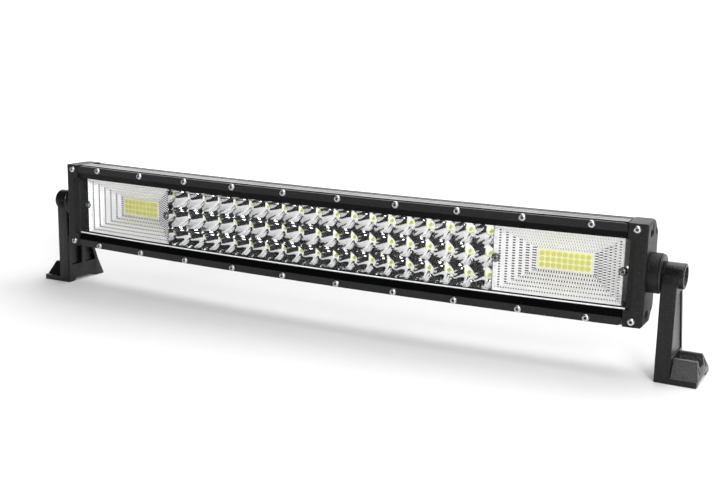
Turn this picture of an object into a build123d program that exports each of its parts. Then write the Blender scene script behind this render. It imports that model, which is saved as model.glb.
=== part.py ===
"""Curved LED light bar on two tilting foot brackets, in millimetres, +Z up.

The bar bows forward about a vertical axis far behind it, so its long parts are
revolved about that axis.  The front looks along -Y and the feet stand on z = 0.
"""
import math
import os

from build123d import *

os.makedirs("parts", exist_ok=True)

# ---- bar, seen from the front -------------------------------------------------
bow_radius = 3289.4
front_y = -34.15
pivot_z = 81.0
half_height = 39.3
half_width = 278.67
housing_end = 263.7
cap_start = 264.6
cap_top_depth = 29.5
cap_rear_round = 6.0
rail_end = 263.9
lens_end = 265.5
body_depth = 38.0

# ---- front frame and lens -----------------------------------------------------
rail_thick = 3.2
rail_outer = 38.7
rail_crease = 32.5
rail_inner = 27.0
seal_back = 4.4
lens_back = 6.4
lens_half = 31.0
screw_row_z = 36.0
screw_pitch = 52.77
screws_per_rail = 10
button_r = 2.9
button_h = 1.8
thread_r = 1.45
tapped_r = 1.5

# ---- optics -------------------------------------------------------------------
optic_front = 10.0
optic_back = 30.9
board_front = 31.0
board_back = 32.6
floor_front = 32.7
floor_back = 34.6
optic_half = 26.5
spot_half = 159.3
flood_start = 159.7
flood_end = 262.0
spot_pitch = 17.67
spot_row_pitch = 18.0
optic_z = -1.0
spot_columns = 18
spot_rows = 3
spot_mouth_r = 8.4
spot_throat_r = 3.2
flood_centre = 212.3
flood_steps = 6
chip_columns = 9
chip_rows = 3
chip_pitch = 4.65
chip_size = 3.5

# ---- pivots and feet ----------------------------------------------------------
pivot_y = front_y + 31.0
hub_r = 15.4
hub_end = 286.5
washer_r = 14.9
washer_end = 288.0
arm_start = 288.3
arm_end = 300.0
barrel_r = 9.8
barrel_end = 304.2
bolt_r = 4.0
bolt_bore_r = 4.05
bolt_head_r = 6.5
counterbore_r = 7.4
counterbore_start = 294.0
bolt_tip = 270.5
foot_end = 320.0
foot_hole_x = 309.0
foot_hole_y = front_y + 45.0
foot_hole_r = 4.25

bow_centre = (0.0, front_y + bow_radius)
bow_axis = Axis((bow_centre[0], bow_centre[1], 0), (0, 0, 1))


def bow_point(s):
    """Point of the front face at arc length s from the middle, at pivot height."""
    a = s / bow_radius
    return (bow_radius * math.sin(a), bow_centre[1] - bow_radius * math.cos(a), pivot_z)


def section_plane(s):
    """Cross-section plane at arc length s: x is depth behind the face, y is up."""
    a = s / bow_radius
    return Plane(origin=bow_point(s), x_dir=(-math.sin(a), math.cos(a), 0),
                 z_dir=(math.cos(a), math.sin(a), 0))


def face_plane(s, depth=0.0):
    """Plane square to the face at arc length s: x along the bar, y up, z forward."""
    a = s / bow_radius
    here = bow_point(s)
    back = (-math.sin(a), math.cos(a))
    origin = (here[0] + back[0] * depth, here[1] + back[1] * depth, pivot_z)
    return Plane(origin=origin, x_dir=(math.cos(a), math.sin(a), 0),
                 z_dir=(math.sin(a), -math.cos(a), 0))


def bowed(outlines, start, end):
    """Solid swept along the bow from arc length start to end."""
    with BuildPart() as swept:
        with BuildSketch(section_plane(start)):
            for outline in outlines:
                with BuildLine():
                    Polyline(*outline, close=True)
                make_face()
        revolve(axis=bow_axis, revolution_arc=math.degrees((end - start) / bow_radius))
    return swept.part


def box_outline(d0, d1, z0, z1):
    return [(d0, z0), (d1, z0), (d1, z1), (d0, z1)]


def rods(places, radius, depth_from, depth_to):
    """Cylinders square to the face at (s, z) places, from one depth to another."""
    found = []
    for s, z in places:
        with BuildPart() as rod:
            with BuildSketch(face_plane(s, depth_from)):
                with Locations((0, z)):
                    Circle(radius)
            extrude(amount=-(depth_to - depth_from))
        found.append(rod.part)
    return found


def button_screws(places, head_r, head_h, shank_r, seat_depth, tip_depth):
    """Button-head hex socket screws, one solid at each (s, z) place."""
    found = []
    for s, z in places:
        with BuildPart() as screw:
            with BuildSketch(face_plane(s, seat_depth)):
                with Locations((0, z)):
                    Circle(head_r)
            extrude(amount=head_h)
            fillet(screw.faces().sort_by(Axis.Y)[0].edges(), head_h * 0.55)
            with BuildSketch(face_plane(s, seat_depth)):
                with Locations((0, z)):
                    Circle(shank_r)
            extrude(amount=-(tip_depth - seat_depth))
            with BuildSketch(face_plane(s, seat_depth - head_h)):
                with Locations((0, z)):
                    RegularPolygon(head_r * 0.46, 6)
            extrude(amount=-head_h * 0.6, mode=Mode.SUBTRACT)
        found.append(screw.part)
    return found


def save(part, name):
    part.label = name
    export_step(part, "parts/" + name + ".step")
    print(name, round(part.volume, 1), len(part.solids()))


def mirrored(part):
    """The same piece at the other end of the bar."""
    with BuildPart() as other:
        add(part.mirror(Plane.YZ))
    return other.part


rail_s = [(i - (screws_per_rail - 1) / 2) * screw_pitch for i in range(screws_per_rail)]
cap_screw_places = [(s, z) for s in (-271.0, 271.0) for z in (-34.9, 34.9)]
optic_screw_places = [(s, optic_z) for s in (-261.3, -159.5, 159.5, 261.3)]

# ---- housing: a finned extrusion, open to the front ---------------------------
half_section = [(seal_back, half_height), (10.6, half_height), (10.6, 38.8), (11.4, 38.8),
                (11.4, half_height), (17.5, half_height), (17.5, 34.0), (floor_back, 34.0),
                (floor_back, 0.0), (floor_front, 0.0), (floor_front, 28.2), (6.6, 28.2),
                (6.6, 31.3), (seal_back, 31.3)]
top_fins = [box_outline(d, d + 1.6, 33.0, 38.4) for d in (20.6, 25.2, 29.8)]
rear_fins = [box_outline(floor_back - 0.5, body_depth, z - 0.8, z + 0.8)
             for z in [-33.2 + 6.64 * i for i in range(11)]]
mirror_z = [[(d, -z) for d, z in outline] for outline in [half_section] + top_fins]
gland_s = 62.0
vent_s = -62.0
pad_back = body_depth + 0.3
side_ports = [(d, z) for d in (11.0, 28.0) for z in (-31.1, 31.1)]
port_s = 276.2
with BuildPart() as housing:
    add(bowed([half_section] + top_fins + mirror_z + rear_fins, -housing_end, housing_end))
    for rod in rods([(s, z) for s in rail_s for z in (-screw_row_z, screw_row_z)],
                    tapped_r, seal_back - 0.5, 13.0):
        add(rod, mode=Mode.SUBTRACT)
    for pad in rods([(gland_s, 0), (vent_s, 0)], 11.0, floor_back - 0.5, pad_back):
        add(pad)
    for hole in rods([(gland_s, 0), (vent_s, 0)], 5.1, floor_front - 0.5, body_depth + 1):
        add(hole, mode=Mode.SUBTRACT)
    for hole in rods(optic_screw_places, tapped_r, floor_front - 0.5, floor_back + 1):
        add(hole, mode=Mode.SUBTRACT)
    for port in side_ports:
        for end in (-1, 1):
            inward = Align.MAX if end > 0 else Align.MIN
            with BuildPart(section_plane(end * port_s), mode=Mode.PRIVATE) as drill:
                with Locations(port):
                    Cylinder(tapped_r, 24.0, align=(Align.CENTER, Align.CENTER, inward))
            add(drill.part, mode=Mode.SUBTRACT)
save(housing.part, "housing")

# ---- retaining rails above and below the lens ---------------------------------
top_outline = [(0.0, rail_outer), (rail_thick, rail_outer), (rail_thick, rail_inner),
               (rail_thick - 0.6, rail_inner), (0.0, rail_crease)]
for name, outline in (("top_rail", top_outline), ("bottom_rail", [(d, -z) for d, z in top_outline])):
    sign = 1 if name == "top_rail" else -1
    with BuildPart() as rail:
        add(bowed([outline], -rail_end, rail_end))
        corners = rail.edges().filter_by(lambda e: abs(e.center().X) > 262
                                         and sign * (e.center().Z - pivot_z) > rail_outer - 0.1
                                         and e.length < rail_thick + 0.2)
        fillet(corners, 2.8)
        for rod in rods([(s, sign * screw_row_z) for s in rail_s], 1.7, -1.0, rail_thick + 1.0):
            add(rod, mode=Mode.SUBTRACT)
    save(rail.part, name)

for name, z in (("top_rail_screws", screw_row_z), ("bottom_rail_screws", -screw_row_z)):
    with BuildPart() as screws:
        for screw in button_screws([(s, z) for s in rail_s], button_r, button_h, thread_r, 0.0, 12.0):
            add(screw)
    save(screws.part, name)

# ---- lens and its seal --------------------------------------------------------
with BuildPart() as lens:
    add(bowed([box_outline(seal_back, lens_back, -lens_half, lens_half)], -lens_end, lens_end))
    add(bowed([[(rail_thick - 0.5, -25.9), (rail_thick + 0.1, -26.5), (seal_back + 0.5, -26.5),
                (seal_back + 0.5, 26.5), (rail_thick + 0.1, 26.5), (rail_thick - 0.5, 25.9)]],
              -lens_end, lens_end))
save(lens.part, "lens")

with BuildPart() as lens_gasket:
    add(bowed([box_outline(rail_thick, seal_back, 27.4, 37.9),
               box_outline(rail_thick, seal_back, -37.9, -27.4)], -rail_end, rail_end))
    for rod in rods([(s, z) for s in rail_s for z in (-screw_row_z, screw_row_z)], 1.7, 2.0, 6.0):
        add(rod, mode=Mode.SUBTRACT)
save(lens_gasket.part, "lens_gasket")

# ---- spot optic: square grid of round mirror cups -----------------------------
spot_places = [((i - (spot_columns - 1) / 2) * spot_pitch,
                optic_z + (j - (spot_rows - 1) / 2) * spot_row_pitch)
               for i in range(spot_columns) for j in range(spot_rows)]
optic_outline = box_outline(optic_front, optic_back, optic_z - optic_half, optic_z + optic_half)
with BuildPart() as spot_reflector:
    add(bowed([optic_outline], -spot_half, spot_half))
    for s, z in spot_places:
        with BuildPart(face_plane(s, (optic_front + optic_back) / 2), mode=Mode.PRIVATE) as cup:
            with Locations((0, z)):
                Cone(spot_throat_r, spot_mouth_r, optic_back - optic_front + 0.4)
        add(cup.part, mode=Mode.SUBTRACT)
    for rod in rods(optic_screw_places[1:3], 1.8, optic_front - 1, optic_back + 1):
        add(rod, mode=Mode.SUBTRACT)
save(spot_reflector.part, "spot_reflector")

# ---- flood optics: stepped rectangular funnels --------------------------------
with BuildPart() as right_flood_reflector:
    add(bowed([optic_outline], flood_start, flood_end))
    for k in range(flood_steps):
        t = k / (flood_steps - 1)
        with BuildSketch(face_plane(flood_centre, optic_front - 1.0)):
            with Locations((0, optic_z)):
                Rectangle(98.0 + t * (45.0 - 98.0), 50.4 + t * (17.0 - 50.4))
        extrude(amount=-(1.0 + (k + 1) * (optic_back - optic_front) / flood_steps
                         + (0.5 if k == flood_steps - 1 else 0.0)), mode=Mode.SUBTRACT)
    for rod in rods(optic_screw_places[2:], 1.8, optic_front - 1, optic_back + 1):
        add(rod, mode=Mode.SUBTRACT)
save(right_flood_reflector.part, "right_flood_reflector")
save(mirrored(right_flood_reflector.part), "left_flood_reflector")

# ---- circuit boards and light emitters ----------------------------------------
board_outline = box_outline(board_front, board_back, optic_z - 27.0, optic_z + 27.0)
with BuildPart() as spot_board:
    add(bowed([board_outline], -spot_half, spot_half))
    for rod in rods(optic_screw_places[1:3], 1.8, optic_back, board_back + 1):
        add(rod, mode=Mode.SUBTRACT)
save(spot_board.part, "spot_board")

with BuildPart() as right_flood_board:
    add(bowed([board_outline], flood_start, flood_end))
    for rod in rods(optic_screw_places[2:], 1.8, optic_back, board_back + 1):
        add(rod, mode=Mode.SUBTRACT)
save(right_flood_board.part, "right_flood_board")
save(mirrored(right_flood_board.part), "left_flood_board")

with BuildPart() as spot_leds:
    for s, z in spot_places:
        with BuildSketch(face_plane(s, board_front)):
            with Locations((0, z)):
                Rectangle(3.5, 3.5)
        extrude(amount=0.7)
save(spot_leds.part, "spot_leds")

with BuildPart() as right_flood_leds:
    with BuildSketch(face_plane(flood_centre, board_front)):
        with Locations((0, optic_z)):
            with GridLocations(chip_pitch, chip_pitch, chip_columns, chip_rows):
                Rectangle(chip_size, chip_size)
    extrude(amount=0.5)
save(right_flood_leds.part, "right_flood_leds")
save(mirrored(right_flood_leds.part), "left_flood_leds")

with BuildPart() as reflector_screws:
    for screw in button_screws(optic_screw_places, 2.6, 1.6, 1.4, optic_front, floor_back - 0.4):
        add(screw)
save(reflector_screws.part, "reflector_screws")

# ---- end caps: cast ends with a pivot hub each --------------------------------
cap_section = [(0.0, -half_height), (cap_top_depth, -half_height), (body_depth, -30.0),
               (body_depth, 30.0), (cap_top_depth, half_height), (0.0, half_height)]
hub_plane = Plane(origin=(half_width - 1.0, pivot_y, pivot_z), x_dir=(0, 1, 0), z_dir=(1, 0, 0))
with BuildPart() as right_end_cap:
    add(bowed([cap_section], cap_start, 284.0))
    split(bisect_by=Plane(origin=(half_width, 0, 0), z_dir=(1, 0, 0)), keep=Keep.BOTTOM)
    outer = right_end_cap.faces().sort_by(Axis.X)[-1]
    fillet(outer.edges().filter_by(lambda e: e.center().Y > outer.center().Y + 14), cap_rear_round)
    outer = right_end_cap.faces().sort_by(Axis.X)[-1]
    fillet(outer.edges(), 1.8)
    with BuildPart(mode=Mode.PRIVATE) as pocket:
        add(bowed([box_outline(rail_thick + 0.2, 31.0, -31.4, 31.4)], cap_start - 2, 265.9))
        add(bowed([box_outline(-2.0, rail_thick + 1, -rail_inner, rail_inner)], cap_start - 2, 265.9))
    add(pocket.part, mode=Mode.SUBTRACT)
    with BuildPart(mode=Mode.PRIVATE) as slope:
        with BuildSketch(face_plane(265.9, 8.0)):
            with Locations((-5.0, 0)):
                RectangleRounded(19.0, 2 * rail_inner, 4.0)
        extrude(amount=12.0)
        with BuildSketch(Plane(origin=(0, 0, pivot_z + 30))):
            here = [face_plane(s, d).origin for s, d in
                    ((262.0, 3.4), (265.9, 3.4), (271.7, -0.9), (271.7, -6.0), (262.0, -6.0))]
            with BuildLine():
                Polyline(*[(p.X, p.Y) for p in here], close=True)
            make_face()
        extrude(amount=-60.0, mode=Mode.INTERSECT)
    add(slope.part, mode=Mode.SUBTRACT)
    with BuildSketch(hub_plane):
        Circle(hub_r)
    extrude(amount=hub_end - half_width + 1.0)
    rim = right_end_cap.faces().sort_by(Axis.X)[-1]
    chamfer(rim.edges(), 0.6)
    with BuildSketch(hub_plane.offset(hub_end - half_width + 1.5)):
        Circle(bolt_bore_r)
    extrude(amount=-18.0, mode=Mode.SUBTRACT)
    for screw_hole in rods(cap_screw_places[2:], tapped_r, -1.0, 13.0):
        add(screw_hole, mode=Mode.SUBTRACT)
    for port in side_ports:
        with BuildPart(section_plane(port_s), mode=Mode.PRIVATE) as drill:
            with Locations(port):
                Cylinder(1.7, 34.0)
        add(drill.part, mode=Mode.SUBTRACT)
        with BuildPart(section_plane(port_s), mode=Mode.PRIVATE) as sink:
            with Locations(port):
                Cylinder(3.1, 6.0, align=(Align.CENTER, Align.CENTER, Align.MIN))
        add(sink.part, mode=Mode.SUBTRACT)
    with BuildSketch(hub_plane.offset(1.0)):
        for z in (-33.2, 33.2):
            with Locations((-3.3, z)):
                SlotOverall(9.4, 3.0, rotation=90)
    extrude(amount=-3.2, mode=Mode.SUBTRACT)
save(right_end_cap.part, "right_end_cap")
save(mirrored(right_end_cap.part), "left_end_cap")

with BuildPart() as right_end_gasket:
    add(bowed([[(7.0, -33.6), (body_depth - 3.6, -33.6), (body_depth - 3.6, 33.6), (7.0, 33.6),
                (7.0, 28.6), (33.0, 28.6), (33.0, -28.6), (7.0, -28.6)]], housing_end + 0.05,
              cap_start - 0.05))
    for port in side_ports:
        with BuildPart(section_plane(port_s), mode=Mode.PRIVATE) as drill:
            with Locations(port):
                Cylinder(1.7, 30.0)
        add(drill.part, mode=Mode.SUBTRACT)
save(right_end_gasket.part, "right_end_gasket")
save(mirrored(right_end_gasket.part), "left_end_gasket")

with BuildPart() as end_cap_screws:
    for screw in button_screws(cap_screw_places, button_r, button_h, thread_r, 0.0, 12.0):
        add(screw)
save(end_cap_screws.part, "end_cap_screws")

with BuildPart() as end_cap_side_screws:
    for end in (-1, 1):
        for d, z in side_ports:
            lift = Align.MIN if end > 0 else Align.MAX
            sink = Align.MAX if end > 0 else Align.MIN
            with BuildPart(section_plane(end * port_s), mode=Mode.PRIVATE) as screw:
                with Locations((d, z)):
                    Cylinder(2.8, 1.4, align=(Align.CENTER, Align.CENTER, lift))
                    Cylinder(thread_r, 22.0, align=(Align.CENTER, Align.CENTER, sink))
            add(screw.part)
save(end_cap_side_screws.part, "end_cap_side_screws")

# ---- cable gland and breather on the back -------------------------------------
def rear_plane(s, depth):
    """Plane on the back of the bar at arc length s: z points away behind it."""
    here = face_plane(s, depth)
    return Plane(origin=here.origin, x_dir=-here.x_dir, z_dir=-here.z_dir)


with BuildPart() as gland_seal:
    with BuildSketch(rear_plane(gland_s, pad_back)):
        Circle(8.6)
        Circle(5.2, mode=Mode.SUBTRACT)
    extrude(amount=1.2)
save(gland_seal.part, "gland_seal")

with BuildPart() as cable_gland:
    with BuildSketch(rear_plane(gland_s, pad_back + 1.2)):
        RegularPolygon(9.0, 6)
    extrude(amount=5.0)
    chamfer(cable_gland.faces().sort_by(Axis.Y)[-1].edges(), 0.6)
    with BuildSketch(rear_plane(gland_s, pad_back + 1.2)):
        Circle(5.0)
    extrude(amount=-5.0)
    with BuildSketch(rear_plane(gland_s, pad_back + 6.2)):
        Circle(6.2)
    extrude(amount=6.0)
    with BuildSketch(rear_plane(gland_s, pad_back + 13.0)):
        Circle(3.0)
    extrude(amount=-25.0, mode=Mode.SUBTRACT)
save(cable_gland.part, "cable_gland")

with BuildPart() as gland_nut:
    with BuildSketch(rear_plane(gland_s, pad_back + 6.5)):
        RegularPolygon(8.2, 6)
        Circle(6.3, mode=Mode.SUBTRACT)
    extrude(amount=6.2)
    with BuildSketch(rear_plane(gland_s, pad_back + 12.7)):
        Circle(7.0)
        Circle(3.2, mode=Mode.SUBTRACT)
    extrude(amount=2.4)
    chamfer(gland_nut.faces().sort_by(Axis.Y)[-1].edges().sort_by(SortBy.LENGTH)[-1], 0.8)
save(gland_nut.part, "gland_nut")

with BuildPart() as breather_valve:
    with BuildSketch(rear_plane(vent_s, pad_back)):
        RegularPolygon(8.0, 6)
    extrude(amount=3.0)
    with BuildSketch(rear_plane(vent_s, pad_back + 3.0)):
        Circle(6.0)
    extrude(amount=2.4)
    chamfer(breather_valve.faces().sort_by(Axis.Y)[-1].edges(), 0.7)
    with BuildSketch(rear_plane(vent_s, pad_back)):
        Circle(5.0)
    extrude(amount=-3.5)
save(breather_valve.part, "breather_valve")

# ---- foot brackets ------------------------------------------------------------
def side_plane(x):
    """Plane square to the pivot axis: x is towards the back, y is up."""
    return Plane(origin=(x, pivot_y, pivot_z), x_dir=(0, 1, 0), z_dir=(1, 0, 0))


arm_outline = [(-10.4, 0.0), (10.4, 0.0), (14.2, -13.8), (25.7, -48.0), (31.5, -64.0), (39.0, -79.5),
               (39.0, -81.0), (27.5, -81.0), (24.0, -78.0), (0.0, -78.0), (-3.0, -81.0), (-11.0, -81.0),
               (-11.0, -8.0)]
foot_outline = [(-11.0, -81.0), (-11.0, -76.4), (-6.6, -76.4), (2.2, -64.7), (5.6, -64.7), (6.5, -71.0),
                (21.5, -71.0), (22.0, -63.6), (25.0, -63.6), (39.0, -79.5), (39.0, -81.0), (27.5, -81.0),
                (24.0, -78.0), (0.0, -78.0), (-3.0, -81.0)]
front_pocket = [(-5.7, -16.0), (8.0, -16.0), (8.0, -64.0), (-5.7, -64.0)]
rear_pocket = [(12.6, -24.0), (14.4, -24.0), (27.5, -64.0), (12.6, -64.0)]
outer_channel = [(-8.2, -13.0), (10.6, -13.0), (22.4, -48.0), (27.0, -62.0), (-8.2, -62.0)]
with BuildPart() as right_bracket:
    with BuildSketch(side_plane(arm_start)):
        with BuildLine():
            Polyline(*arm_outline, close=True)
        make_face()
    extrude(amount=arm_end - arm_start)
    with BuildSketch(side_plane(arm_start + 2.0)):
        with BuildLine():
            Polyline(*foot_outline, close=True)
        make_face()
    extrude(amount=foot_end - arm_start - 2.0)
    upright = right_bracket.edges().filter_by(Axis.Z).filter_by(
        lambda e: e.center().Y < pivot_y - 10.9 and (e.center().X < 290 or e.center().X > 319))
    fillet(upright, 1.2)
    with BuildSketch(side_plane(arm_start)):
        Circle(barrel_r)
    extrude(amount=barrel_end - arm_start)
    barrel_edges = right_bracket.edges().filter_by(GeomType.CIRCLE)
    fillet(barrel_edges.filter_by(lambda e: abs(e.center().X - barrel_end) < 0.1), 0.9)
    for outline in (front_pocket, rear_pocket):
        with BuildSketch(side_plane(arm_start)):
            with BuildLine():
                Polyline(*outline, close=True)
            make_face()
        extrude(amount=4.2, mode=Mode.SUBTRACT)
    with BuildSketch(side_plane(arm_end)):
        with BuildLine():
            Polyline(*outer_channel, close=True)
        make_face()
    extrude(amount=-1.0, mode=Mode.SUBTRACT)
    with BuildSketch(Plane.XZ):
        with BuildLine():
            Polyline((foot_end, 4.6), (foot_end + 2, 4.6), (foot_end + 2, 20.0), (foot_end - 4.0, 20.0),
                     close=True)
        make_face()
    extrude(amount=60.0, both=True, mode=Mode.SUBTRACT)
    with BuildSketch(side_plane(foot_end)):
        for y, z in ((1.9, -71.6), (26.6, -71.4)):
            with Locations((y, z)):
                SlotOverall(6.0, 2.2, rotation=90)
    extrude(amount=-6.0, mode=Mode.SUBTRACT)
    with BuildSketch(side_plane(arm_start)):
        Circle(bolt_bore_r)
    extrude(amount=20.0, mode=Mode.SUBTRACT)
    with BuildSketch(side_plane(counterbore_start)):
        Circle(counterbore_r)
    extrude(amount=20.0, mode=Mode.SUBTRACT)
    with BuildSketch(Plane(origin=(foot_hole_x, foot_hole_y, 0))):
        Circle(foot_hole_r)
    extrude(amount=12.0, mode=Mode.SUBTRACT)
save(right_bracket.part, "right_bracket")
save(mirrored(right_bracket.part), "left_bracket")

with BuildPart() as right_pivot_washer:
    with BuildSketch(side_plane(hub_end)):
        Circle(washer_r)
        Circle(bolt_bore_r, mode=Mode.SUBTRACT)
    extrude(amount=washer_end - hub_end)
    chamfer(right_pivot_washer.edges().filter_by(GeomType.CIRCLE).sort_by(SortBy.LENGTH)[-2:], 0.5)
save(right_pivot_washer.part, "right_pivot_washer")
save(mirrored(right_pivot_washer.part), "left_pivot_washer")

with BuildPart() as right_lock_washer:
    with BuildSketch(side_plane(counterbore_start + 0.1)):
        Circle(6.7)
        Circle(bolt_bore_r, mode=Mode.SUBTRACT)
    extrude(amount=1.2)
save(right_lock_washer.part, "right_lock_washer")
save(mirrored(right_lock_washer.part), "left_lock_washer")

with BuildPart() as right_pivot_bolt:
    with BuildSketch(side_plane(bolt_tip)):
        Circle(bolt_r)
    extrude(amount=counterbore_start + 1.3 - bolt_tip)
    with BuildSketch(side_plane(counterbore_start + 1.3)):
        Circle(bolt_head_r)
    extrude(amount=6.4)
    chamfer(right_pivot_bolt.faces().sort_by(Axis.X)[-1].edges(), 0.6)
    with BuildSketch(side_plane(counterbore_start + 7.7)):
        RegularPolygon(3.4, 6)
    extrude(amount=-4.0, mode=Mode.SUBTRACT)
save(right_pivot_bolt.part, "right_pivot_bolt")
save(mirrored(right_pivot_bolt.part), "left_pivot_bolt")
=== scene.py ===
"""Looks of the curved LED light bar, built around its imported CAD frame.

Metres, +Z up, lens towards -Y.  Places on the bar are given as arc length s from its
middle, height z from the pivots and depth behind the front face.
"""
import math

import bmesh
import bpy
from mathutils import Matrix, Vector


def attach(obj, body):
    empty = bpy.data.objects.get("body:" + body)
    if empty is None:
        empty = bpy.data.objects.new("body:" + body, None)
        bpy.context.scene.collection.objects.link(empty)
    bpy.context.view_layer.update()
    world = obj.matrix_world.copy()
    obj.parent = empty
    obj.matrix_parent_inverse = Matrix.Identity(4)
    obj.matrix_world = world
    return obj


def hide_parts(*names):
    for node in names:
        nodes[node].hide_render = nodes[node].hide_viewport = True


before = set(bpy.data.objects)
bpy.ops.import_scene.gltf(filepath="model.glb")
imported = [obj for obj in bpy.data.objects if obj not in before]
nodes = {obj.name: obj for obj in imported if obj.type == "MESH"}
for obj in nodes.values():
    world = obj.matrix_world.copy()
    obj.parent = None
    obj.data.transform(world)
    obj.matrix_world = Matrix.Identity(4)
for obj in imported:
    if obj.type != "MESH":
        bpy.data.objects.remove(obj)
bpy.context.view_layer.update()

# ---- the bar's bow, as in the CAD ----------------------------------------------
BOW_RADIUS = 3.2894
FRONT_Y = -0.03415
PIVOT_Z = 0.081
OPTIC_FRONT = 0.010
BOARD_FRONT = 0.031
OPTIC_Z = -0.001
OPTIC_HALF = 0.0269
SPOT_PITCH = 0.01767
SPOT_ROW_PITCH = 0.018
SPOT_COLUMNS = 18
SPOT_ROWS = 3
SPOT_HALF = 0.1593
FLOOD_CENTRE = 0.2123
LENS_END = 0.2655
BOW_PARTS = 160
ENDS = ((1, "right"), (-1, "left"))
WHITE = (1.0, 1.0, 1.0)


def on_bar(s, z, depth):
    """Point at arc length s from the middle, height z from the pivot, depth behind the front face."""
    a = s / BOW_RADIUS
    r = BOW_RADIUS - depth
    return Vector((r * math.sin(a), FRONT_Y + BOW_RADIUS - r * math.cos(a), PIVOT_Z + z))


def steps(low, high, parts):
    """Evenly spaced values from low to high, both included."""
    return [low + (high - low) * i / parts for i in range(parts + 1)]


spot_s = [(col - (SPOT_COLUMNS - 1) / 2.0) * SPOT_PITCH for col in range(SPOT_COLUMNS)]
spot_z = [OPTIC_Z + (row - (SPOT_ROWS - 1) / 2.0) * SPOT_ROW_PITCH for row in range(SPOT_ROWS)]
spot_cells = [(s, z) for s in spot_s for z in spot_z]


# ---- materials -------------------------------------------------------------------
class Look:
    """A Principled material with helpers for procedural grain, masks for painted shade, glow and bump."""

    def __init__(self, name, colour, rough, metal=0.0):
        self.mat = bpy.data.materials.new(name)
        self.mat.use_nodes = True
        self.tree = self.mat.node_tree
        self.shader = self.tree.nodes["Principled BSDF"]
        self.shader.inputs["Base Color"].default_value = (*colour, 1.0)
        self.shader.inputs["Roughness"].default_value = rough
        self.shader.inputs["Metallic"].default_value = metal
        self.place = self.tree.nodes.new("ShaderNodeTexCoord").outputs["Object"]
        self.normal = None

    def link(self, a, b):
        self.tree.links.new(a, b)

    def noise(self, scale, detail=4.0, rough=0.55, stretch=(1.0, 1.0, 1.0)):
        """Cloudy pattern from 0 to 1, in metres; a stretch above 1 makes it finer that way."""
        m = self.tree.nodes.new("ShaderNodeMapping")
        m.inputs["Scale"].default_value = stretch
        self.link(self.place, m.inputs["Vector"])
        n = self.tree.nodes.new("ShaderNodeTexNoise")
        n.inputs["Scale"].default_value = scale
        n.inputs["Detail"].default_value = detail
        n.inputs["Roughness"].default_value = rough
        self.link(m.outputs["Vector"], n.inputs["Vector"])
        return n.outputs["Fac"]

    def axis(self, name):
        """One coordinate of the point that is shaded."""
        n = self.tree.nodes.new("ShaderNodeSeparateXYZ")
        self.link(self.place, n.inputs["Vector"])
        return n.outputs[name]

    def cells(self, scale):
        """Distance to the middle of the nearest of many small cells."""
        n = self.tree.nodes.new("ShaderNodeTexVoronoi")
        n.inputs["Scale"].default_value = scale
        self.link(self.place, n.inputs["Vector"])
        return n.outputs["Distance"]

    def span(self, value, from_low, from_high, low, high):
        """A value moved from one range to another and held inside it."""
        n = self.tree.nodes.new("ShaderNodeMapRange")
        limits = {"From Min": from_low, "From Max": from_high, "To Min": low, "To Max": high}
        for key, number in limits.items():
            n.inputs[key].default_value = number
        self.link(value, n.inputs["Value"])
        return n.outputs["Result"]

    def add(self, a, b):
        n = self.tree.nodes.new("ShaderNodeMath")
        self.link(a, n.inputs[0])
        self.link(b, n.inputs[1])
        return n.outputs["Value"]

    def outside(self, value, middle, reach):
        """1 where a value is further than reach from middle, 0 nearer."""
        n = self.tree.nodes.new("ShaderNodeMath")
        n.operation = "COMPARE"
        self.link(value, n.inputs[0])
        n.inputs[1].default_value = middle
        n.inputs[2].default_value = reach
        return self.span(n.outputs["Value"], 0.0, 1.0, 1.0, 0.0)

    def blend(self, factor, a, b):
        """Colour that goes from a to b as the factor goes from 0 to 1."""
        n = self.tree.nodes.new("ShaderNodeMix")
        n.data_type = "RGBA"
        self.link(factor, n.inputs["Factor"])
        for socket, value in ((n.inputs[6], a), (n.inputs[7], b)):
            if isinstance(value, tuple):
                socket.default_value = (*value, 1.0)
            else:
                self.link(value, socket)
        return n.outputs[2]

    def base(self, colour):
        self.link(colour, self.shader.inputs["Base Color"])

    def rough(self, value):
        self.link(value, self.shader.inputs["Roughness"])

    def bump(self, height, strength, distance):
        """Relief on top of any that the look has already."""
        n = self.tree.nodes.new("ShaderNodeBump")
        n.inputs["Strength"].default_value = strength
        n.inputs["Distance"].default_value = distance
        self.link(height, n.inputs["Height"])
        if self.normal is not None:
            self.link(self.normal, n.inputs["Normal"])
        self.normal = n.outputs["Normal"]
        self.link(self.normal, self.shader.inputs["Normal"])

    def glow(self, colour, strength):
        """A little light of its own: painted glow on parts that give no light, and the floor's glow."""
        self.shader.inputs["Emission Color"].default_value = (*colour, 1.0)
        self.shader.inputs["Emission Strength"].default_value = strength


def powder_coat(name, tone, rough, grain, gloss, shaded=None):
    """Black powder coat with orange peel and faint dust; if shaded is given, painted shade darkens it and
    dulls its gloss that far above and below the pivots.
    """
    look = Look(name, (tone, tone, tone * 1.03), rough)
    specular = look.shader.inputs["Specular IOR Level"]
    specular.default_value = gloss
    cloud = look.noise(28.0, 5.0)
    speck = look.noise(1300.0, 2.0, 0.6)
    light = look.blend(look.span(cloud, 0.35, 0.7, 0.0, 1.0), (tone * 0.86,) * 3, (tone * 1.16,) * 3)
    grain_and_painted_shade = look.blend(look.span(speck, 0.50, 0.66, 0.0, 0.9), light, (tone * 3.2,) * 3)
    # painted shade: within shaded of the pivots' height, where the rails' sloping bands meet the lens, the
    # coat is darkened and its gloss dulled
    if shaded:
        outside = look.outside(look.axis("Z"), PIVOT_Z, shaded)
        grain_and_painted_shade = look.blend(outside, (tone * 0.3,) * 3, grain_and_painted_shade)
        look.link(look.span(outside, 0.0, 1.0, gloss * 0.3, gloss), specular)
    look.base(grain_and_painted_shade)
    look.rough(look.span(cloud, 0.3, 0.75, rough - 0.06, rough + 0.08))
    look.bump(look.noise(900.0, 3.0, 0.6), 0.35 * grain, 0.00022)
    look.bump(look.cells(420.0), 0.16 * grain, 0.00025)
    return look.mat


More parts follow.
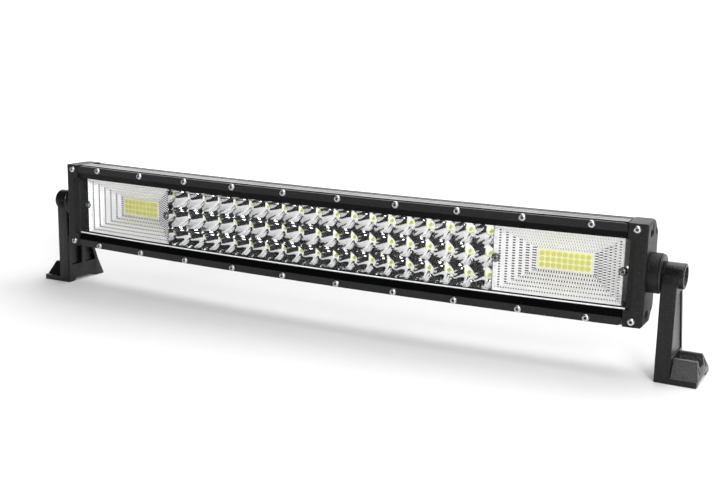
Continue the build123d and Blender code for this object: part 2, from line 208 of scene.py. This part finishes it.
def steel(name, tone, rough):
    """Turned steel with fine lines round it and slightly uneven polish."""
    look = Look(name, (tone, tone, tone * 1.01), rough, 1.0)
    cloud = look.noise(240.0, 3.0)
    lines = look.noise(60.0, 6.0, 0.7, (1.0, 1.0, 40.0))
    look.base(look.blend(cloud, (tone * 0.82,) * 3, (min(tone * 1.1, 1.0),) * 3))
    look.rough(look.span(lines, 0.3, 0.7, rough * 0.7, rough * 1.5))
    look.bump(lines, 0.08, 0.00005)
    return look.mat


def rubber(name, tone, rough=0.75, gloss=0.5):
    """Dark soft material with a fine matt grain."""
    look = Look(name, (tone,) * 3, rough)
    cloud = look.noise(90.0, 4.0)
    look.base(look.blend(cloud, (tone * 0.7,) * 3, (tone * 1.5,) * 3))
    look.rough(look.span(cloud, 0.3, 0.7, rough - 0.1, min(rough + 0.1, 1.0)))
    look.bump(look.noise(1300.0, 2.0), 0.25, 0.0001)
    look.shader.inputs["Specular IOR Level"].default_value = gloss
    return look.mat


def mirror_plastic(name, tone, rough, metal=1.0, glow=0.0):
    """Metallised plastic: bright, very smooth, with faint ripples from the mould, and a painted glow if one
    is given.
    """
    look = Look(name, (tone, tone, tone * 1.01), rough, metal)
    cloud = look.noise(160.0, 3.0)
    look.base(look.blend(cloud, (tone * 0.95,) * 3, (min(tone * 1.03, 1.0),) * 3))
    look.rough(look.span(look.noise(700.0, 2.0), 0.3, 0.7, rough * 0.7, rough * 1.4))
    look.bump(cloud, 0.05, 0.0002)
    look.glow(WHITE, glow)
    return look.mat


def clear_plastic(name, alpha, tint):
    """Clear sheet with faint smears in its polish."""
    look = Look(name, tint, 0.04)
    haze = look.noise(35.0, 4.0)
    look.rough(look.span(haze, 0.35, 0.7, 0.02, 0.07))
    look.shader.inputs["Alpha"].default_value = alpha
    look.shader.inputs["IOR"].default_value = 1.45
    look.shader.inputs["Specular IOR Level"].default_value = 0.25
    return look.mat


def pale_resin(name, colour, rough, scale, glow=(0.0, 0.0, 0.0), strength=0.0):
    """Pale or tinted resin with a slight mottle, and a painted glow if one is given."""
    look = Look(name, colour, rough)
    cloud = look.noise(scale, 4.0)
    darker = tuple(c * 0.93 for c in colour)
    lighter = tuple(min(c * 1.04, 1.0) for c in colour)
    look.base(look.blend(cloud, darker, lighter))
    look.rough(look.span(cloud, 0.3, 0.7, rough - 0.05, rough + 0.08))
    look.bump(look.noise(scale * 4.0, 2.0), 0.15, 0.0001)
    look.glow(glow, strength)
    return look.mat


# the rails' sloping bands next to the lens carry painted shade
COAT_RAIL = powder_coat("rail_powder_coat", tone=0.007, rough=0.30, grain=2.2, gloss=0.27, shaded=0.0325)
COAT_CAP = powder_coat("cap_powder_coat", tone=0.007, rough=0.42, grain=3.0, gloss=0.22)
COAT_HOUSING = powder_coat("housing_powder_coat", tone=0.006, rough=0.24, grain=0.7, gloss=0.6)
COAT_BRACKET = powder_coat("bracket_powder_coat", tone=0.005, rough=0.28, grain=2.4, gloss=0.30)
STEEL_BRIGHT = steel("stainless_screws", tone=0.66, rough=0.30)
# painted shade: darker steel for the walls and floor of the hex sockets
PAINTED_SOCKET_SHADE = steel("screw_socket_painted_shade", tone=0.20, rough=0.35)
STEEL_DULL = steel("plain_steel", tone=0.30, rough=0.24)
STEEL_BLACK = steel("black_oxide", tone=0.05, rough=0.38)
SEAL = rubber("black_seal", tone=0.012)
WASHER = rubber("black_washer", tone=0.012, rough=0.42)
NYLON = rubber("black_nylon", tone=0.018, rough=0.5)
# near-black painted shade for the patches in the flood steps and for the strip under the optics
PAINTED_SHADE = rubber("painted_shade_black", tone=0.002, rough=0.6, gloss=0.1)
MIRROR = mirror_plastic("mirror_cups", tone=0.86, rough=0.07)
# painted glow: the stepped flood mirrors are brightened by a faint emission of their own
MIRROR_FLOOD = mirror_plastic("mirror_steps", tone=0.97, rough=0.14, metal=0.35, glow=0.07)
LENS = clear_plastic("clear_lens", alpha=0.03, tint=(0.30, 0.32, 0.33))
# painted highlight: a white, glowing strip along the lens's lower step, where its edge catches the light
PAINTED_LENS_HIGHLIGHT = pale_resin("lens_edge_painted_highlight", (0.95, 0.96, 0.97), rough=0.35, scale=120.0,
                       glow=WHITE, strength=0.40)
BOARD = pale_resin("white_board", (0.86, 0.86, 0.82), rough=0.45, scale=200.0)
# painted glow: the LED package and phosphor below are brightened by emission of their own
PACKAGE = pale_resin("led_package", (0.93, 0.93, 0.86), rough=0.4, scale=400.0,
                     glow=(1.0, 1.0, 0.96), strength=0.75)
PHOSPHOR = pale_resin("led_phosphor", (0.78, 0.86, 0.16), rough=0.30, scale=600.0,
                      glow=(0.85, 0.93, 0.25), strength=0.30)
FLOOD_CHIP = pale_resin("flood_chip_phosphor", (0.74, 0.72, 0.16), rough=0.35, scale=600.0)
FLOOD_BED = pale_resin("flood_chip_bed", (0.97, 0.97, 0.62), rough=0.4, scale=400.0)

NODE_LOOKS = {
    "housing": COAT_HOUSING, "top_rail": COAT_RAIL, "bottom_rail": COAT_RAIL,
    "top_rail_screws": STEEL_BRIGHT, "bottom_rail_screws": STEEL_BRIGHT, "end_cap_screws": STEEL_BRIGHT,
    "reflector_screws": STEEL_DULL, "end_cap_side_screws": STEEL_BLACK, "lens": LENS, "lens_gasket": SEAL,
    "spot_reflector": MIRROR, "left_flood_reflector": MIRROR_FLOOD, "right_flood_reflector": MIRROR_FLOOD,
    "spot_board": BOARD, "left_flood_board": BOARD, "right_flood_board": BOARD, "spot_leds": PHOSPHOR,
    "left_flood_leds": FLOOD_CHIP, "right_flood_leds": FLOOD_CHIP, "left_end_cap": COAT_CAP,
    "right_end_cap": COAT_CAP, "left_end_gasket": SEAL, "right_end_gasket": SEAL, "gland_seal": SEAL,
    "cable_gland": NYLON, "gland_nut": NYLON, "breather_valve": NYLON, "left_pivot_washer": WASHER,
    "right_pivot_washer": WASHER, "left_lock_washer": STEEL_BLACK, "right_lock_washer": STEEL_BLACK,
    "left_pivot_bolt": STEEL_BLACK, "right_pivot_bolt": STEEL_BLACK, "left_bracket": COAT_BRACKET,
    "right_bracket": COAT_BRACKET,
}
for name, mat in NODE_LOOKS.items():
    mesh = nodes[name].data
    mesh.materials.clear()
    mesh.materials.append(mat)


class Shell:
    """Points and faces of one piece, built from rows of points joined by quads."""

    def __init__(self):
        self.verts = []
        self.faces = []
        self.shades = []

    def strip(self, rows, closed=False, shade=None):
        """Join each row of points to the next; shade(row, column) is the number of the face's material."""
        n = len(rows[0])
        start = len(self.verts)
        for row in rows:
            self.verts.extend(row)
        for r in range(len(rows) - 1):
            for k in range(n if closed else n - 1):
                a = start + r * n + k
                b = start + r * n + (k + 1) % n
                self.face((a, b, b + n, a + n), shade(r, k) if shade else 0)
        return start

    def face(self, corners, shade=0):
        """One face from the numbers of its points."""
        self.faces.append(tuple(corners))
        self.shades.append(shade)

    def mesh(self, name, looks, smooth=False):
        """The finished mesh, with a list of materials in the order of their numbers."""
        mesh = bpy.data.meshes.new(name)
        mesh.from_pydata([tuple(v) for v in self.verts], [], self.faces)
        for look in looks:
            mesh.materials.append(look)
        mesh.polygons.foreach_set("material_index", self.shades)
        mesh.polygons.foreach_set("use_smooth", [smooth] * len(self.faces))
        mesh.validate()
        return mesh


def placed(name, data):
    """A new object in the scene with a mesh, light or camera for its data."""
    obj = bpy.data.objects.new(name, data)
    bpy.context.scene.collection.objects.link(obj)
    return obj


def piece(name, mesh, body, slot, *replaced):
    """A visible piece that rides on a body, in place of the CAD nodes named; slot is not used."""
    obj = placed(name, mesh)
    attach(obj, body)
    if replaced:
        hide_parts(*replaced)


# ---- cast brackets with their edges rounded ------------------------------------------
CAST_EDGE_R = 0.0007


def rounded_casting(node, body):
    """The CAD casting with every hard edge rounded, as it comes out of a mould."""
    bm = bmesh.new()
    bm.from_mesh(nodes[node].data)
    bmesh.ops.remove_doubles(bm, verts=bm.verts, dist=2e-6)
    bmesh.ops.dissolve_limit(bm, angle_limit=math.radians(0.6), verts=bm.verts, edges=bm.edges)
    sharp = [e for e in bm.edges if e.is_manifold and e.calc_face_angle(0.0) > math.radians(32.0)]
    bmesh.ops.bevel(bm, geom=sharp, offset=CAST_EDGE_R, segments=2, profile=0.5, affect="EDGES",
                    clamp_overlap=True)
    mesh = bpy.data.meshes.new(node + "_casting")
    bm.to_mesh(mesh)
    bm.free()
    mesh.materials.append(COAT_BRACKET)
    mesh.polygons.foreach_set("use_smooth", [True] * len(mesh.polygons))
    mesh.set_sharp_from_angle(angle=math.radians(40.0))
    piece(node + "_casting", mesh, body, "bracket_coat", node)


for side, end in ENDS:
    rounded_casting(end + "_bracket", end + "_foot")

# ---- spot reflector: bowl-shaped mirror cups on a square grid ------------------------
THROAT_R = 0.0031
CUP_FOCAL = 0.00166
CUP_SIDES = 24
CUP_RINGS = 7
CUP_GAP = 0.0001
WALL_GAP = 0.0005


def cup_height(r):
    """Height of the mirror above the board at radius r from the cup's axis."""
    rise = (r * r - THROAT_R * THROAT_R) / (4.0 * CUP_FOCAL)
    return min(rise, BOARD_FRONT - OPTIC_FRONT)


def cup_row(s0, z0, share):
    """Points round a cup, at a share of the way from its throat to the edge of its square cell."""
    row = []
    for k in range(CUP_SIDES):
        ang = (k + 0.5) * 2.0 * math.pi / CUP_SIDES
        to_side = SPOT_PITCH / 2.0 / max(abs(math.cos(ang)), 1e-6)
        to_top = SPOT_ROW_PITCH / 2.0 / max(abs(math.sin(ang)), 1e-6)
        r = THROAT_R + (min(to_side, to_top) - THROAT_R) * share
        depth = BOARD_FRONT - CUP_GAP - cup_height(r)
        row.append(on_bar(s0 + r * math.cos(ang), z0 + r * math.sin(ang), depth))
    return row


cups = Shell()
for s0, z0 in spot_cells:
    cups.strip([cup_row(s0, z0, ring / CUP_RINGS) for ring in range(CUP_RINGS + 1)], closed=True)
piece("spot_reflector_cups", cups.mesh("spot_reflector_cups", [MIRROR], smooth=True), "lamp",
      "reflector_silver", "spot_reflector")

# flat mirrored walls round the grid of cups
walls = Shell()
wall_depths = (OPTIC_FRONT, BOARD_FRONT - WALL_GAP)
for sign in (-1, 1):
    z = OPTIC_Z + sign * OPTIC_HALF
    walls.strip([[on_bar(s, z, depth) for s in steps(-SPOT_HALF, SPOT_HALF, 144)] for depth in wall_depths])
    heights = steps(OPTIC_Z - OPTIC_HALF, OPTIC_Z + OPTIC_HALF, 24)
    walls.strip([[on_bar(sign * SPOT_HALF, z, depth) for z in heights] for depth in wall_depths])
piece("spot_reflector_walls", walls.mesh("spot_reflector_walls", [MIRROR]), "lamp", "reflector_silver")

# ---- flood reflectors: stepped frames with a fluted surface -------------------------
# for each way out from the centre: reach at the mouth, reach at the board, share that is tread
FLOOD_REACH = {
    "near": (0.0524, 0.0232, 0.58),
    "far": (0.0492, 0.0232, 0.50),
    "top": (0.0268, 0.0088, 0.26),
    "bottom": (0.0250, 0.0088, 0.54),
}
FLOOD_STEPS = 6
FLUTE_PITCH = 0.0021
PER_FLUTE = 4
FLUTE_LIFT = 0.0005
RISER_ROWS = 4
FLOOD_BACK = BOARD_FRONT - 0.0002


def flood_row(step, u):
    """Reach each way, depth and flute height of row u of a step; the last row is the tread's inner edge.

    Treads are wider on the deeper steps.
    """
    f = min(u / RISER_ROWS, 1.0)
    reach = {}
    for way, (outer, inner, tread) in FLOOD_REACH.items():
        stride = (inner - outer) / FLOOD_STEPS
        share = 1.0 if u > RISER_ROWS else f * f * (1.0 - tread * (0.62 + 0.12 * step))
        reach[way] = outer + stride * (step + share)
    depth = OPTIC_FRONT + (FLOOD_BACK - OPTIC_FRONT) * (step + f) / FLOOD_STEPS
    return reach, depth, FLUTE_LIFT * math.sin(math.pi * f)


def flood_side(shell, side, way, rows):
    """One of a step's four sides, mitred at its ends: a fluted riser, then a tread with patches of painted
    shade between the flutes.
    """
    upright = way in ("near", "far")
    low, high = ("bottom", "top") if upright else ("near", "far")
    sign = 1.0 if way in ("far", "top") else -1.0
    first = math.floor(-rows[0][0][low] / FLUTE_PITCH) * PER_FLUTE
    last = math.ceil(rows[0][0][high] / FLUTE_PITCH) * PER_FLUTE
    index = {}
    lines = []
    for reach, depth, flute in rows:
        line = []
        for j in range(first, last + 1):
            along = min(max(j * FLUTE_PITCH / PER_FLUTE, -reach[low]), reach[high])
            at_mitre = along in (-reach[low], reach[high])
            lift = 0.0 if at_mitre else flute * math.sin(math.pi * (j % PER_FLUTE) / PER_FLUTE)
            out = sign * (reach[way] - lift)
            s, z = (out, along) if upright else (along, out)
            # points held at the same mitre are one point
            key = (len(lines), round(along, 7))
            if key not in index:
                index[key] = len(shell.verts)
                shell.verts.append(on_bar(side * (FLOOD_CENTRE + s), OPTIC_Z + z, depth - 0.5 * lift))
            line.append(index[key])
        lines.append(line)
    # the patches of painted shade are narrower along the top
    painted_shade_columns = (0,) if way == "top" else (0, PER_FLUTE - 1)
    # tread faces in those columns are painted near-black as the shade between the flutes
    for r in range(len(rows) - 1):
        for j in range(last - first):
            around = (lines[r][j], lines[r][j + 1], lines[r + 1][j + 1], lines[r + 1][j])
            ring = tuple(dict.fromkeys(around))
            if len(ring) > 2:
                shell.face(ring, 1 if r == RISER_ROWS and j % PER_FLUTE in painted_shade_columns else 0)


for side, end in ENDS:
    flood = Shell()
    for step in range(FLOOD_STEPS):
        step_rows = [flood_row(step, u) for u in range(RISER_ROWS + 2)]
        for way in FLOOD_REACH:
            flood_side(flood, side, way, step_rows)
    piece(end + "_flood_steps", flood.mesh(end + "_flood_steps", [MIRROR_FLOOD, PAINTED_SHADE]), "lamp",
          "reflector_silver", end + "_flood_reflector")

# near-black strip that closes the gap under the optics: painted shade below the lens's lower edge
optic_shade_strip_shell = Shell()
optic_shade_strip_line = steps(-0.262, 0.262, BOW_PARTS)
optic_shade_strip_shell.strip([[on_bar(s, z, OPTIC_FRONT - 0.0003) for s in optic_shade_strip_line] for z in (-0.0262, -0.0292)])
piece("optic_shade_strip", optic_shade_strip_shell.mesh("optic_shade_strip", [PAINTED_SHADE]), "lamp", "reflector_silver")

# ---- light emitters ----------------------------------------------------------------
DOME_SIDES = 20
DOME_RINGS = 3
TILE_BEVEL = 0.00008


def dome(shell, s0, z0, depth, r, height, shade):
    """Low round dome, its rim at a depth."""
    rows = []
    for ring in range(DOME_RINGS):
        q = 1.0 - ring / DOME_RINGS
        row = []
        for k in range(DOME_SIDES):
            ang = k * 2.0 * math.pi / DOME_SIDES
            lift = height * (1.0 - q * q)
            row.append(on_bar(s0 + r * q * math.cos(ang), z0 + r * q * math.sin(ang), depth - lift))
        rows.append(row)
    last = shell.strip(rows, closed=True, shade=lambda row, column: shade) + (DOME_RINGS - 1) * DOME_SIDES
    tip = len(shell.verts)
    shell.verts.append(on_bar(s0, z0, depth - height))
    for k in range(DOME_SIDES):
        shell.face((last + k, last + (k + 1) % DOME_SIDES, tip), shade)


def tile(shell, s0, z0, half, back, front, corner, shade):
    """Square block with rounded corners and a slightly bevelled front."""
    outline = []
    for cs, cz, a0 in ((1, 1, 0), (-1, 1, 90), (-1, -1, 180), (1, -1, 270)):
        for k in range(4):
            ang = math.radians(a0 + k * 30)
            outline.append((cs * (half - corner) + corner * math.cos(ang),
                            cz * (half - corner) + corner * math.sin(ang)))
    rows = []
    for depth, share in ((back, 1.0), (front + TILE_BEVEL, 1.0), (front, 0.95)):
        rows.append([on_bar(s0 + s * share, z0 + z * share, depth) for s, z in outline])
    start = shell.strip(rows, closed=True, shade=lambda row, column: shade)
    n = len(outline)
    shell.face(range(start + 2 * n, start + 3 * n), shade)


PACKAGE_HALF = 0.0027
PACKAGE_CORNER = 0.0012
PACKAGE_TOP = BOARD_FRONT - 0.0004
emitters = Shell()
for s0, z0 in spot_cells:
    tile(emitters, s0, z0, PACKAGE_HALF, BOARD_FRONT, PACKAGE_TOP, PACKAGE_CORNER, 0)
    # the pale dome up and to the left of the phosphor is a painted highlight of the clear dome
    dome(emitters, s0 - 0.0006, z0 + 0.0008, PACKAGE_TOP - 0.00001, 0.0018, 0.0012, 0)
    dome(emitters, s0 + 0.0004, z0 - 0.0001, PACKAGE_TOP - 0.00003, 0.0021, 0.0013, 1)
piece("spot_emitters", emitters.mesh("spot_emitters", [PACKAGE, PHOSPHOR], smooth=True), "lamp",
      "led_phosphor", "spot_leds")

CHIP_PITCH = 0.00465
CHIP_HALF = 0.00195
BED_HALF_S = 0.0215
BED_HALF_Z = 0.0079
BED_DEPTH = BOARD_FRONT - 0.0001
for side, end in ENDS:
    chips = Shell()
    centre = side * FLOOD_CENTRE
    chips.strip([[on_bar(centre + s, OPTIC_Z + z, BED_DEPTH) for z in (-BED_HALF_Z, BED_HALF_Z)]
                 for s in (-BED_HALF_S, BED_HALF_S)])
    for i in range(-4, 5):
        for j in range(-1, 2):
            tile(chips, centre + i * CHIP_PITCH, OPTIC_Z + j * CHIP_PITCH, CHIP_HALF, BED_DEPTH,
                 BOARD_FRONT - 0.0006, 0.0017, 1)
    name = end + "_flood_emitters"
    piece(name, chips.mesh(name, [FLOOD_BED, FLOOD_CHIP]), "lamp", "led_phosphor", end + "_flood_leds")

# ---- button-head screws ----------------------------------------------------------------
SCREW_PITCH = 0.05277
RAIL_SCREWS = 10
RAIL_SCREW_Z = 0.036
CAP_SCREW_S = 0.271
CAP_SCREW_Z = 0.0349
HEAD_R = 0.0029
HEAD_H = 0.0018
HEAD_SIDES = 24
SOCKET_R = HEAD_R * 0.46
SHADOW_RING_REACH = 1.19
RAIL_EDGE = 0.0387
# from the socket's floor out to the painted shadow ring's edge: share of the hexagon, share of the head's
# radius, height
HEAD_PROFILE = [(1.0, 0.0, 0.0007), (1.0, 0.0, HEAD_H - 0.00006), (1.06, 0.0, HEAD_H), (0.0, 0.66, 0.00168),
                (0.0, 0.84, 0.00136), (0.0, 0.95, 0.00086), (0.0, 1.0, 0.0003), (0.0, 1.0, 0.00012),
                (0.0, SHADOW_RING_REACH, 0.00012), (0.0, SHADOW_RING_REACH, -0.0002)]


def head_row(s0, z0, depth, hexagon, circle, height):
    """Points round a head: a share of its socket's hexagon plus a share of its round edge."""
    row = []
    for k in range(HEAD_SIDES):
        ang = 2.0 * math.pi * k / HEAD_SIDES
        within = math.radians((k * 360.0 / HEAD_SIDES + 30.0) % 60.0 - 30.0)
        socket = SOCKET_R * math.cos(math.pi / 6) / math.cos(within)
        r = socket * hexagon + HEAD_R * circle
        z = z0 + r * math.sin(ang)
        if circle == SHADOW_RING_REACH:
            # the painted shadow ring stops at the rail's edge
            z = max(min(z, RAIL_EDGE), -RAIL_EDGE)
        row.append(on_bar(s0 + r * math.cos(ang), z, depth - height))
    return row


def head_shade(row, column):
    """Socket walls are darker steel as painted shade, the last two rows are a dark ring of painted shadow
    round the head, and the rest is bright.
    """
    if row == 0:
        return 1
    return 2 if row > 6 else 0


def button_heads(name, places, depth, steel_look, slot, node):
    """Domed heads with a hex socket, each on a thin dark ring of painted shadow seated at a depth."""
    heads = Shell()
    for s0, z0 in places:
        rows = [head_row(s0, z0, depth, *ring) for ring in HEAD_PROFILE]
        start = heads.strip(rows, closed=True, shade=head_shade)
        # the socket's floor takes the painted shade as well
        heads.face(range(start, start + HEAD_SIDES), 1)
    piece(name, heads.mesh(name, [steel_look, PAINTED_SOCKET_SHADE, SEAL], smooth=True), "lamp", slot, node)


rail_places = [(i - (RAIL_SCREWS - 1) / 2.0) * SCREW_PITCH for i in range(RAIL_SCREWS)]
cap_places = [(s, z) for s in (-CAP_SCREW_S, CAP_SCREW_S) for z in (-CAP_SCREW_Z, CAP_SCREW_Z)]
optic_places = [(s, 0.0004) for s in (-0.2613, -0.1620, 0.1620, 0.2613)]
for rail, z in (("top_rail", RAIL_SCREW_Z), ("bottom_rail", -RAIL_SCREW_Z)):
    button_heads(rail + "_screw_heads", [(s, z) for s in rail_places], 0.0, STEEL_BRIGHT, "bright_screw",
                 rail + "_screws")
button_heads("end_cap_screw_heads", cap_places, 0.0, STEEL_BRIGHT, "bright_screw", "end_cap_screws")
button_heads("optic_screw_heads", optic_places, OPTIC_FRONT - 0.0004, STEEL_DULL, "optic_screw",
             "reflector_screws")

# ---- lens: clear pane with a raised front and a painted highlight on its lower step ---------
# section as (depth, height); its second and third edges are the lower step, which carries the painted
# highlight
LENS_SECTION = [(0.0044, -0.031), (0.0044, -0.0268), (0.0036, -0.0268), (0.0025, -0.0254), (0.0027, 0.0260),
                (0.0033, 0.0266), (0.0044, 0.0266), (0.0044, 0.031), (0.0064, 0.031), (0.0064, -0.031)]
lens = Shell()
lens_rows = []
for s in steps(LENS_END, -LENS_END, BOW_PARTS):
    lens_rows.append([on_bar(s, z, depth) for depth, z in LENS_SECTION])
lens.strip(lens_rows, closed=True, shade=lambda row, column: 1 if column in (1, 2) else 0)
corners = len(LENS_SECTION)
for first in (0, BOW_PARTS * corners):
    lens.face(range(first, first + corners))
piece("lens_pane", lens.mesh("lens_pane", [LENS, PAINTED_LENS_HIGHLIGHT]), "lamp", "lens_clear", "lens")

# ---- stage ---------------------------------------------------------------------------
paper = Look("floor_paper", (0.74, 0.74, 0.74), 0.9)
paper.base(paper.blend(paper.noise(6.0), (0.73, 0.73, 0.73), (0.76, 0.76, 0.76)))
paper.glow(WHITE, 0.0)
near_glow = paper.span(paper.axis("Y"), -0.22, -0.06, 0.22, 0.03)
far_glow = paper.span(paper.axis("Y"), 0.35, 1.3, 0.0, 1.0)
side_glow = paper.span(paper.axis("X"), -0.20, -0.70, 0.0, 0.30)
paper.link(paper.add(paper.add(near_glow, far_glow), side_glow), paper.shader.inputs["Emission Strength"])

SWEEP_R = 1.0
SWEEP_FRONT = -2.2
SWEEP_BEND = 2.0
SWEEP_TOP = 4.0
SWEEP_HALF = 4.5
profile = [(SWEEP_FRONT, 0.0), (SWEEP_BEND, 0.0)]
for k in range(1, 13):
    ang = math.radians(90.0 * k / 12)
    profile.append((SWEEP_BEND + SWEEP_R * math.sin(ang), SWEEP_R * (1.0 - math.cos(ang))))
profile.append((SWEEP_BEND + SWEEP_R, SWEEP_TOP))
sweep = Shell()
sweep.strip([[Vector((x, y, z)) for x in (-SWEEP_HALF, SWEEP_HALF)] for y, z in profile])
placed("floor_sweep", sweep.mesh("floor_sweep", [paper.mat]))


def softbox(name, at, aim, size, power):
    """Rectangular area light at a place, turned towards another."""
    data = bpy.data.lights.new(name, "AREA")
    data.shape = "RECTANGLE"
    data.size = size[0]
    data.size_y = size[1]
    data.energy = power
    way = (Vector(aim) - Vector(at)).normalized()
    turn = way.to_track_quat("-Z", "Y").to_matrix().to_4x4()
    placed(name, data).matrix_world = Matrix.Translation(Vector(at)) @ turn


softbox("overhead", at=(0.4, 0.20, 1.5), aim=(0.15, 0.05, 0.0), size=(2.2, 1.1), power=32.0)
softbox("front_key", at=(1.15, -1.25, 0.85), aim=(0.1, 0.0, 0.1), size=(0.5, 0.35), power=19.0)
softbox("front_left", at=(-1.9, -1.3, 1.5), aim=(0.0, 0.0, 0.1), size=(0.4, 1.2), power=0.4)

world = bpy.data.worlds.new("studio")
world.use_nodes = True
background = world.node_tree.nodes["Background"]
background.inputs["Color"].default_value = (0.9, 0.92, 0.95, 1.0)
background.inputs["Strength"].default_value = 0.03
bpy.context.scene.world = world
bpy.context.scene.view_settings.view_transform = "Standard"
bpy.context.scene.view_settings.look = "None"

# ---- camera --------------------------------------------------------------------------
YAW = -0.48205
PITCH = 0.20361
ROLL = 0.02064
LENS_MM = 52.7581
SENSOR_MM = 36.0
FROM_BAR_FRONT = Vector((0.44748, -0.75666, 0.17922))
forward = Vector((math.sin(YAW) * math.cos(PITCH), math.cos(YAW) * math.cos(PITCH), -math.sin(PITCH)))
level = Vector((math.cos(YAW), -math.sin(YAW), 0.0))
over = level.cross(forward)
right = level * math.cos(ROLL) + over * math.sin(ROLL)
up = over * math.cos(ROLL) - level * math.sin(ROLL)
turn = Matrix((right, up, -forward)).transposed().to_4x4()
camera_data = bpy.data.cameras.new("camera")
camera_data.sensor_width = SENSOR_MM
camera_data.lens = LENS_MM
camera_data.clip_start = 0.02
camera = placed("camera", camera_data)
camera.matrix_world = Matrix.Translation(Vector((0.0, FRONT_Y, PIVOT_Z)) + FROM_BAR_FRONT) @ turn
bpy.context.scene.camera = camera
